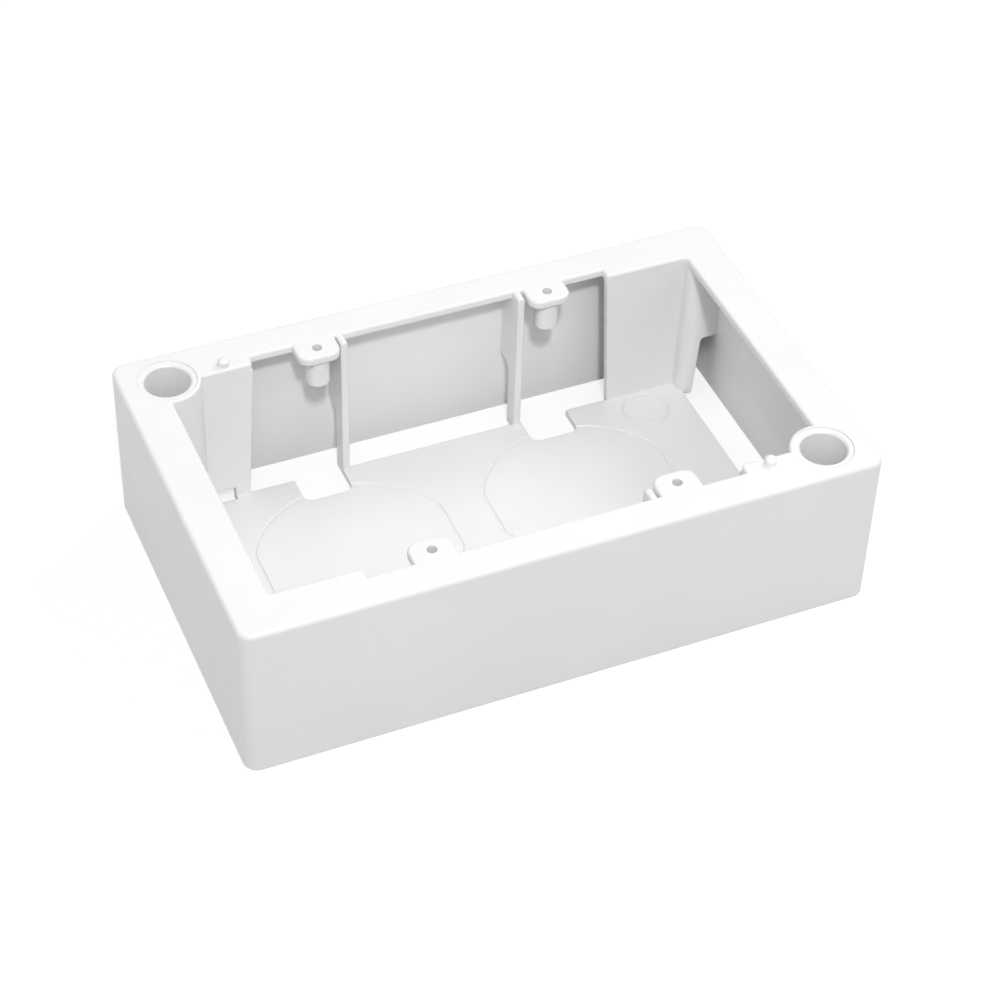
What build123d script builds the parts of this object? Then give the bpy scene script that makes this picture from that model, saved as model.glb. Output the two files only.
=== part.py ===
"""Surface mount box for low-voltage wiring, moulded in one piece.

The box stands on its back with the open front up, as on a bench. X runs along
the long side, Y along the short side and Z out of the wall. The origin is the
centre of the back face. All sizes are in millimetres.
"""
import os
from math import atan2, degrees, radians, tan

from build123d import *

# Outer shell
length = 176.0
width = 108.5
height = 48.0
wall = 2.5
wall_foot = 1.8
corner_radius = 4.0
top_round = 1.2
breakout_height = 21.4

# Flat rim round the opening
rim_plate = 2.2
rim_end = 11.6
rim_side = 12.75
lip_side = 9.55
rim_round = 0.75
opening_corner = 1.2

# Corner panels that carry the back plate
panel = 2.0
panel_length = 24.5
jamb_draft = 3.2
return_length = 4.7
return_round = 4.0
return_lean = 0.025
leg_foot = 1.6
leg_toe = 1.2
leg_width = 2.3
leg_spread = 1.8
web_round = 1.4

# Back plate
plate = 2.0
groove_depth = 0.4
groove_slope = 35.0
big_groove = 1.0
small_groove = 0.7

# Tabs for the faceplate screws
screw_pitch = 67.4
screw_inset = 12.6
pilot_radius = 1.35
tab_width = 12.0
tab_end = 4.2
tab_corner = 3.4
boss_radius = 3.3
boss_length = 8.9

# Ribs beside the tabs
rib = 2.0
rib_gap_left = 0.5
rib_gap_right = 1.0
rib_reach = 3.9
rib_foot = 4.9
rib_round = 2.5

# Wells for the wall screws, at two opposite corners
well_radius = 6.2
well_wall = 2.8
well_inset_x = 12.9
well_inset_y = 10.95
well_base = 4.0
well_ring = 1.75
well_sink = 0.3
well_mouth = 0.5
wall_screw_radius = 2.4

# Locating pegs on the rim
peg_radius = 1.6
peg_height = 2.3
peg_dome = 2.0
peg_from_edge = 2.3
peg_from_end = 28.7

# Knock-outs in the back plate: two discs cut by flats, and a small one in a corner
disc_pitch = 66.9
disc_shift = 0.9
disc_radius = 29.9
disc_high = 6.0
disc_low = 12.4
disc_flat = 27.6
small_disc_radius = 7.0
small_disc_inset_x = 13.3
small_disc_inset_y = 8.0

# Notches in the back plate below the tabs, and the small windows at the panels' feet
notch_side = 1.7
notch_front = 5.3
notch_round = 2.6
foot_window_width = 7.0
foot_window_height = 5.1
foot_window_reach = 1.2
foot_window_inset = 4.0

# Places worked out from the sizes above
half_length = length / 2
half_width = width / 2
inner_x = half_length - rim_end
inner_y = half_width - rim_side
lip_y = half_width - lip_side
wall_x = half_length - wall
wall_y = half_width - wall
under_rim = height - rim_plate
wall_draft = degrees(atan2(wall - wall_foot, breakout_height))
jamb_x = inner_x - panel_length
jamb_foot_x = jamb_x + under_rim * tan(radians(jamb_draft))
web_y = inner_y - return_length
web_length = wall_x + wall / 2 - inner_x
leg_x = inner_x + leg_width
foot_window_x = jamb_foot_x + foot_window_inset + foot_window_width / 2
screw_x = screw_pitch / 2
screw_y = half_width - screw_inset
tab_tip_y = screw_y - tab_end
rib_side = screw_x - tab_width / 2 - rib / 2
left_rib_x = rib_side - rib_gap_left
right_rib_x = rib_side - rib_gap_right
rib_tip_y = lip_y - rib_reach
notch_near_x = left_rib_x + rib / 2
notch_far_x = screw_x + tab_width / 2 + notch_side
notch_tip_y = tab_tip_y - notch_front
well_x = half_length - well_inset_x
well_y = half_width - well_inset_y
tube_radius = well_radius + well_wall
peg_x = half_length - peg_from_end
peg_y = inner_y + peg_from_edge

tabs = [(side_x * screw_x, side_y * screw_y) for side_x in (-1, 1) for side_y in (-1, 1)]
ribs = [(-left_rib_x, rib_tip_y), (right_rib_x, rib_tip_y), (right_rib_x, -rib_tip_y)]
wells = [(-well_x, well_y), (well_x, -well_y)]
pegs = [(-peg_x, peg_y), (peg_x, -peg_y)]


def side_of(value):
    """The side of the middle that a place lies on, as 1 or -1."""
    return 1 if value > 0 else -1


def corners(sketch, y):
    """The sketch's corners that lie at a distance y from its long axis."""
    return sketch.vertices().filter_by(lambda v: abs(abs(v.Y) - y) < 0.01)


def corner(sketch, x, y):
    """The sketch's corner at a place."""
    return sketch.vertices().sort_by_distance((x, y))[0]


def knock_out(centre_x, gap):
    """A knock-out's outline, drawn in by a gap: a disc with flat sides."""
    with BuildSketch(mode=Mode.PRIVATE) as outline:
        with Locations((centre_x, disc_high)):
            Circle(disc_radius - gap)
        with Locations((centre_x, disc_low)):
            Circle(disc_radius - gap, mode=Mode.INTERSECT)
        with Locations((centre_x, 0)):
            Rectangle(2 * (disc_flat - gap), width, mode=Mode.INTERSECT)
    return outline.sketch


def standing(y, side):
    """An upright plane on one long side, with its X to that side's plain corner."""
    return Plane(origin=(0, side * y, 0), x_dir=(side, 0, 0), z_dir=(0, -side, 0))


leaning = Plane(
    origin=(inner_x, web_y, under_rim),
    x_dir=(1, 0, -return_lean),
    z_dir=(return_lean, return_lean, 1),
)

with BuildPart() as surface_mount_box:
    # Shell: a block with its top edge rounded
    with BuildSketch():
        RectangleRounded(length, width, corner_radius)
    extrude(amount=height)
    fillet(surface_mount_box.faces().sort_by(Axis.Z)[-1].edges(), top_round)

    # Hollow of the shell, with walls that thin out below the breakout height
    with BuildSketch(Plane.XY.offset(breakout_height)) as hollow:
        RectangleRounded(2 * wall_x, 2 * wall_y, corner_radius - wall)
    extrude(amount=under_rim - breakout_height, mode=Mode.SUBTRACT)
    extrude(hollow.sketch, amount=-breakout_height, taper=-wall_draft, mode=Mode.SUBTRACT)

    # Opening in the rim, wider between the corner panels, with tabs and rib ends left in it
    with BuildSketch(Plane.XY.offset(under_rim)) as opening:
        Rectangle(2 * inner_x, 2 * inner_y)
        Rectangle(2 * jamb_x, 2 * lip_y)
        fillet(corners(opening, inner_y), opening_corner)
        for x, y in tabs:
            middle_y = (tab_tip_y + half_width) / 2 * side_of(y)
            with Locations((x, middle_y)):
                Rectangle(tab_width, half_width - tab_tip_y, mode=Mode.SUBTRACT)
        for x, y in ribs:
            middle_y = (rib_tip_y + half_width) / 2 * side_of(y)
            with Locations((x, middle_y)):
                Rectangle(rib, half_width - rib_tip_y, mode=Mode.SUBTRACT)
        fillet(corners(opening, tab_tip_y), tab_corner)
    extrude(amount=rim_plate, mode=Mode.SUBTRACT)
    rim_face = surface_mount_box.faces().sort_by(Axis.Z)[-1]
    fillet(rim_face.inner_wires()[0].edges(), rim_round)

    # Well tubes, each with a shallow ring sunk round its mouth
    for x, y in wells:
        with BuildPart(mode=Mode.PRIVATE) as tube:
            with BuildSketch():
                with Locations((x, y)):
                    Circle(tube_radius)
            extrude(amount=height)
            fillet(tube.edges().group_by(Axis.Z)[-1], rim_round)
        add(tube.part)
    with BuildSketch(Plane.XY.offset(height)):
        with Locations(*wells):
            Circle(well_radius + well_ring)
    extrude(amount=-well_sink, mode=Mode.SUBTRACT)

    # Corner panels, flush with the rim's inner edge, with their jambs drafted
    for side in (1, -1):
        with BuildSketch(standing(inner_y, side)):
            with BuildLine():
                Polyline(
                    (jamb_foot_x, 0),
                    (inner_x + panel, 0),
                    (inner_x + panel, under_rim),
                    (jamb_x, under_rim),
                    close=True,
                )
            make_face()
            mirror(about=Plane.YZ)
            with Locations((-foot_window_x, foot_window_height / 2)):
                Rectangle(foot_window_width, foot_window_height, mode=Mode.SUBTRACT)
        extrude(amount=-panel)

    # Return and web from each plain corner to the end wall, which lean in toward the foot,
    # with a window over the cable way that leaves a round-toed leg beside the return
    with BuildPart(mode=Mode.PRIVATE) as bent_wall:
        with BuildSketch(leaning) as bend:
            with BuildLine():
                Polyline(
                    (0, return_length + panel),
                    (0, 0),
                    (web_length, 0),
                    (web_length, panel),
                    (panel, panel),
                    (panel, return_length + panel),
                    close=True,
                )
            make_face()
            fillet(corner(bend, 0, 0), return_round)
            fillet(corner(bend, panel, panel), return_round - panel)
        extrude(amount=rim_plate / 2)
        extrude(bend.sketch, amount=-height)
        with BuildSketch(standing(0, 1)) as cable_way:
            with BuildLine():
                Polyline(
                    (jamb_x, -wall),
                    (jamb_x, leg_foot),
                    (leg_x, leg_foot),
                    (leg_x + leg_spread, breakout_height),
                    (length, breakout_height),
                    (length, -wall),
                    close=True,
                )
            make_face()
            fillet(corner(cable_way, leg_x, leg_foot), leg_toe)
            fillet(corner(cable_way, leg_x + leg_spread, breakout_height), web_round)
        extrude(amount=-width, mode=Mode.SUBTRACT)
    add(bent_wall.part)
    add(bent_wall.part, rotation=(0, 0, 180))

    # Back plate, notched below the tabs
    with BuildSketch() as back:
        Rectangle(2 * inner_x, 2 * inner_y)
        for x, y in tabs:
            middle_x = (notch_near_x + notch_far_x) / 2 * side_of(x)
            middle_y = (notch_tip_y + half_width) / 2 * side_of(y)
            with Locations((middle_x, middle_y)):
                Rectangle(notch_far_x - notch_near_x, half_width - notch_tip_y, mode=Mode.SUBTRACT)
        fillet(corners(back, notch_tip_y), notch_round)
        for side in (1, -1):
            with Locations((-side * foot_window_x, side * (inner_y - foot_window_reach / 2))):
                Rectangle(foot_window_width, foot_window_reach, mode=Mode.SUBTRACT)
    extrude(amount=plate)

    # Knock-outs: sloping grooves in the plate's face, two large ones and a small one
    with BuildSketch(Plane.XY.offset(plate)):
        for x in (-disc_pitch / 2 - disc_shift, disc_pitch / 2 - disc_shift):
            add(knock_out(x, 0))
            add(knock_out(x, big_groove), mode=Mode.SUBTRACT)
    extrude(amount=-groove_depth, taper=groove_slope, mode=Mode.SUBTRACT)
    with BuildSketch(Plane.XY.offset(plate)):
        with Locations((inner_x - small_disc_inset_x, inner_y - small_disc_inset_y)):
            Circle(small_disc_radius)
            Circle(small_disc_radius - small_groove, mode=Mode.SUBTRACT)
    extrude(amount=-groove_depth, taper=groove_slope, mode=Mode.SUBTRACT)

    # Ribs, which stand clear of the outer wall below the breakout height
    for x, y in ribs:
        upright = Plane(origin=(x, 0, 0), x_dir=(0, side_of(y), 0), z_dir=(side_of(y), 0, 0))
        with BuildSketch(upright) as rib_profile:
            with BuildLine():
                Polyline(
                    (rib_tip_y, 0),
                    (rib_tip_y + rib_foot, 0),
                    (rib_tip_y + rib_foot, breakout_height),
                    (wall_y, breakout_height),
                    (wall_y, under_rim),
                    (rib_tip_y, under_rim),
                    close=True,
                )
            make_face()
            fillet(corner(rib_profile, rib_tip_y + rib_foot, breakout_height), rib_round)
        extrude(amount=rib / 2, both=True)

    # Bosses under the tabs, with the pilot holes through both
    with BuildSketch(Plane.XY.offset(under_rim)):
        with Locations(*tabs):
            Circle(boss_radius)
    extrude(amount=-boss_length)
    with BuildSketch(Plane.XY.offset(height)):
        with Locations(*tabs):
            Circle(pilot_radius)
    extrude(amount=-rim_plate - boss_length, mode=Mode.SUBTRACT)

    # Wells and the wall screws' holes
    with BuildSketch(Plane.XY.offset(well_base)):
        with Locations(*wells):
            Circle(well_radius)
    extrude(amount=height, mode=Mode.SUBTRACT)
    with BuildSketch():
        with Locations(*wells):
            Circle(wall_screw_radius)
    extrude(amount=well_base, mode=Mode.SUBTRACT)
    mouths = surface_mount_box.edges().filter_by(GeomType.CIRCLE)
    mouths = mouths.filter_by(lambda e: abs(e.radius - well_radius) < 0.01)
    chamfer(mouths.group_by(Axis.Z)[-1], well_mouth)

    # Locating pegs
    for x, y in pegs:
        with BuildPart(mode=Mode.PRIVATE) as peg:
            with BuildSketch(Plane.XY.offset(under_rim)):
                with Locations((x, y)):
                    Circle(peg_radius)
            extrude(amount=rim_plate + peg_height)
            with Locations((x, y, height + peg_height - peg_dome)):
                Sphere(peg_dome, mode=Mode.INTERSECT)
            with BuildSketch(Plane.XY.offset(under_rim)):
                with Locations((x, y)):
                    Circle(peg_radius)
            extrude(amount=rim_plate + peg_height - peg_dome)
        add(peg.part)

surface_mount_box.part.label = "surface_mount_box"

os.makedirs("parts", exist_ok=True)
export_step(surface_mount_box.part, "parts/surface_mount_box.step")
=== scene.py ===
"""Looks for the surface mount box: moulded white plastic, a pale studio and the camera."""
from math import cos, radians, sin

import bpy
from mathutils import Matrix, Vector


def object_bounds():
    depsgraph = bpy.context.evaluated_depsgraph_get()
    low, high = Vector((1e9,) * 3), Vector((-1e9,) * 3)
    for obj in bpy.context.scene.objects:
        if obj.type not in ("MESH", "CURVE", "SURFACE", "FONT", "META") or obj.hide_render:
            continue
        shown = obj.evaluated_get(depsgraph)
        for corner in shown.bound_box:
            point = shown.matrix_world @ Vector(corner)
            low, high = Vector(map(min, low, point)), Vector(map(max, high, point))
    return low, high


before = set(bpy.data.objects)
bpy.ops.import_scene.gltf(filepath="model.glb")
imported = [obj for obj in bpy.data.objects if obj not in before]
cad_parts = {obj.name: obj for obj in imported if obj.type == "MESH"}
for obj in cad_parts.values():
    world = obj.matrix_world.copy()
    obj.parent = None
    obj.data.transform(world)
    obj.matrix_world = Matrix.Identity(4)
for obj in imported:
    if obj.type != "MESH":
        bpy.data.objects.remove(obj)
cad_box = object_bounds()
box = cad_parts["surface_mount_box"]

# Lengths are in metres and angles in degrees. An azimuth is turned from the box's front.

# Camera: where it looks, from how far and which way, and its lens
LOOK_AT = Vector((0.0099, 0.0154, 0.0))
CAMERA_DISTANCE = 0.7512
CAMERA_AZIMUTH = -24.156
CAMERA_ELEVATION = 43.144
CAMERA_ROLL = 1.979
LENS_MM = 96.95
SENSOR_MM = 36.0
NEAREST_SEEN = 0.01
FARTHEST_SEEN = 50.0

# Lamps: round and soft, all facing the box, with their power in watts
LAMPS = {
    # Small and just above the camera, so that its shadows fall down the far wall
    "key": dict(azimuth=-16.0, elevation=53.5, distance=2.0, width=0.19, power=20.1),
    # Broad, on the right and a little behind, to brighten the level faces
    "side": dict(azimuth=115.0, elevation=45.0, distance=1.6, width=0.7, power=7.4),
    # Weak, on the left, to reach the right end's inner wall
    "left": dict(azimuth=-95.0, elevation=40.0, distance=1.5, width=0.8, power=1.6),
    # Weak, on the right front, to leave a soft shadow beside the right panel
    "fill": dict(azimuth=50.0, elevation=40.0, distance=1.6, width=0.8, power=1.8),
}

# Studio: the even light from all round, and the plain white that the camera sees behind
WHITE = (1, 1, 1, 1)
SKY_STRENGTH = 0.51
BACKDROP_STRENGTH = 1.0

# Floor: what it gives back to the box, and what the camera sees, which adds up to white
FLOOR_WIDTH = 8.0
FLOOR_DROP = 0.00002
FLOOR_SHADE = 0.42
FLOOR_SEEN_SHADE = 0.3
FLOOR_GLOW = 0.71

# Plastic's colour: two near whites, and where the slow drift between them starts and ends
PLASTIC_SHADE_LOW = (0.805, 0.805, 0.802, 1)
PLASTIC_SHADE_HIGH = (0.835, 0.835, 0.833, 1)
DRIFT_SCALE = 28.0
DRIFT_DETAIL = 3.0
DRIFT_START = 0.3
DRIFT_END = 0.7

# Plastic's sheen: the mould's polish varies a little from place to place
PLASTIC_IOR = 1.5
PLASTIC_SPECULAR = 0.5
POLISH_SCALE = 90.0
POLISH_DETAIL = 4.0
ROUGHNESS_LOW = 0.30
ROUGHNESS_HIGH = 0.38

# Plastic's surface: edges rounded by the mould, and a grain a few hundredths of a millimetre deep
EDGE_RADIUS = 0.00035
EDGE_SAMPLES = 6
GRAIN_SCALE = 2600.0
GRAIN_DETAIL = 2.0
GRAIN_STRENGTH = 0.12
GRAIN_DEPTH = 0.00003


def towards(azimuth, elevation):
    """The direction from the box to a lamp or the camera."""
    turn = radians(azimuth)
    lift = radians(elevation)
    return Vector((sin(turn) * cos(lift), -cos(turn) * cos(lift), sin(lift)))


def facing(way):
    """The turn of a lamp or camera that stands that way from the box and faces it."""
    return way.to_track_quat("Z", "Y")


def grey(shade):
    """An even grey of that shade."""
    return (shade, shade, shade, 1)


def emptied(owner, output_kind):
    """A material's or world's nodes and links, with nothing left but a new output."""
    owner.use_nodes = True
    nodes = owner.node_tree.nodes
    nodes.clear()
    return nodes, owner.node_tree.links, nodes.new(output_kind)


def uneven(nodes, links, place, scale, detail):
    """A cloudy pattern that stays put on the box."""
    noise = nodes.new("ShaderNodeTexNoise")
    noise.inputs["Scale"].default_value = scale
    noise.inputs["Detail"].default_value = detail
    links.new(place.outputs["Object"], noise.inputs["Vector"])
    return noise.outputs["Fac"]


def backdrop(nodes, strength):
    """White light of that strength from all round."""
    background = nodes.new("ShaderNodeBackground")
    background.inputs["Color"].default_value = WHITE
    background.inputs["Strength"].default_value = strength
    return background.outputs["Background"]


def either_or(nodes, links, share, usual, other):
    """One shader as usual, and the other one where the share is 1."""
    mix = nodes.new("ShaderNodeMixShader")
    share_input, usual_input, other_input = mix.inputs
    links.new(share, share_input)
    links.new(usual, usual_input)
    links.new(other, other_input)
    return mix.outputs["Shader"]


def moulded_white():
    """Satin white plastic with the faint unevenness and soft edges of a moulding."""
    material = bpy.data.materials.new("moulded_white")
    nodes, links, output = emptied(material, "ShaderNodeOutputMaterial")
    shader = nodes.new("ShaderNodeBsdfPrincipled")
    shader.inputs["IOR"].default_value = PLASTIC_IOR
    shader.inputs["Specular IOR Level"].default_value = PLASTIC_SPECULAR
    place = nodes.new("ShaderNodeTexCoord")

    # Colour: a drift between the two near whites that is barely seen
    tint = nodes.new("ShaderNodeValToRGB")
    low, high = tint.color_ramp.elements
    low.position = DRIFT_START
    low.color = PLASTIC_SHADE_LOW
    high.position = DRIFT_END
    high.color = PLASTIC_SHADE_HIGH
    links.new(uneven(nodes, links, place, DRIFT_SCALE, DRIFT_DETAIL), tint.inputs["Fac"])
    links.new(tint.outputs["Color"], shader.inputs["Base Color"])

    # Sheen: patches that are a little more polished than others
    sheen = nodes.new("ShaderNodeMapRange")
    sheen.inputs["To Min"].default_value = ROUGHNESS_LOW
    sheen.inputs["To Max"].default_value = ROUGHNESS_HIGH
    links.new(uneven(nodes, links, place, POLISH_SCALE, POLISH_DETAIL), sheen.inputs["Value"])
    links.new(sheen.outputs["Result"], shader.inputs["Roughness"])

    # Surface: the grain lies over the rounded edges
    rounded = nodes.new("ShaderNodeBevel")
    rounded.samples = EDGE_SAMPLES
    rounded.inputs["Radius"].default_value = EDGE_RADIUS
    grain = nodes.new("ShaderNodeBump")
    grain.inputs["Strength"].default_value = GRAIN_STRENGTH
    grain.inputs["Distance"].default_value = GRAIN_DEPTH
    links.new(uneven(nodes, links, place, GRAIN_SCALE, GRAIN_DETAIL), grain.inputs["Height"])
    links.new(rounded.outputs["Normal"], grain.inputs["Normal"])
    links.new(grain.outputs["Normal"], shader.inputs["Normal"])
    links.new(shader.outputs["BSDF"], output.inputs["Surface"])
    return material


def pale_floor_finish():
    """A pale floor that looks white to the camera and keeps a faint shadow."""
    material = bpy.data.materials.new("pale_floor")
    nodes, links, output = emptied(material, "ShaderNodeOutputMaterial")
    giving_back = nodes.new("ShaderNodeBsdfDiffuse")
    giving_back.inputs["Color"].default_value = grey(FLOOR_SHADE)
    shadowed = nodes.new("ShaderNodeBsdfDiffuse")
    shadowed.inputs["Color"].default_value = grey(FLOOR_SEEN_SHADE)
    glow = nodes.new("ShaderNodeEmission")
    glow.inputs["Strength"].default_value = FLOOR_GLOW
    seen = nodes.new("ShaderNodeAddShader")
    shadowed_input, glow_input = seen.inputs
    links.new(shadowed.outputs["BSDF"], shadowed_input)
    links.new(glow.outputs["Emission"], glow_input)

    # The camera sees the white floor, and so does the sheen of the plastic
    ray = nodes.new("ShaderNodeLightPath")
    looking = nodes.new("ShaderNodeMath")
    looking.operation = "MAXIMUM"
    camera_input, sheen_input = looking.inputs[:2]
    links.new(ray.outputs["Is Camera Ray"], camera_input)
    links.new(ray.outputs["Is Glossy Ray"], sheen_input)
    usual = giving_back.outputs["BSDF"]
    surface = either_or(nodes, links, looking.outputs["Value"], usual, seen.outputs["Shader"])
    links.new(surface, output.inputs["Surface"])
    return material


def lay_floor():
    """The studio floor, just under the box's back face."""
    level = cad_box[0][2] - FLOOR_DROP
    bpy.ops.object.select_all(action="DESELECT")
    bpy.ops.mesh.primitive_plane_add(size=FLOOR_WIDTH, location=(0, 0, level))
    floor = bpy.context.object
    floor.name = "floor"
    bpy.ops.object.transform_apply(location=True, rotation=True, scale=True)
    floor.data.materials.append(pale_floor_finish())


def set_sky():
    """Even white light from all round, plain white behind the floor."""
    world = bpy.data.worlds.new("studio")
    bpy.context.scene.world = world
    nodes, links, output = emptied(world, "ShaderNodeOutputWorld")
    ray = nodes.new("ShaderNodeLightPath")
    sky = backdrop(nodes, SKY_STRENGTH)
    behind = backdrop(nodes, BACKDROP_STRENGTH)
    surface = either_or(nodes, links, ray.outputs["Is Camera Ray"], sky, behind)
    links.new(surface, output.inputs["Surface"])


def hang_lamp(name, azimuth, elevation, distance, width, power):
    """A round soft lamp that faces the box."""
    light = bpy.data.lights.new(name, "AREA")
    light.shape = "DISK"
    light.size = width
    light.energy = power
    lamp = bpy.data.objects.new(name, light)
    bpy.context.scene.collection.objects.link(lamp)
    way = towards(azimuth, elevation)
    lamp.location = way * distance
    lamp.rotation_euler = facing(way).to_euler()


def stand_camera():
    """The camera, at the photograph's angle."""
    lens = bpy.data.cameras.new("camera")
    lens.lens = LENS_MM
    lens.sensor_width = SENSOR_MM
    lens.clip_start = NEAREST_SEEN
    lens.clip_end = FARTHEST_SEEN
    camera = bpy.data.objects.new("camera", lens)
    bpy.context.scene.collection.objects.link(camera)
    way = towards(CAMERA_AZIMUTH, CAMERA_ELEVATION)
    stand = Matrix.Translation(LOOK_AT + way * CAMERA_DISTANCE)
    aim = facing(way).to_matrix().to_4x4()
    roll = Matrix.Rotation(radians(CAMERA_ROLL), 4, "Z")
    camera.matrix_world = stand @ aim @ roll
    bpy.context.scene.camera = camera


box.data.materials.clear()
box.data.materials.append(moulded_white())
lay_floor()
set_sky()
for lamp_name, lamp_values in LAMPS.items():
    hang_lamp(lamp_name, **lamp_values)
stand_camera()
bpy.context.scene.view_settings.view_transform = "Standard"
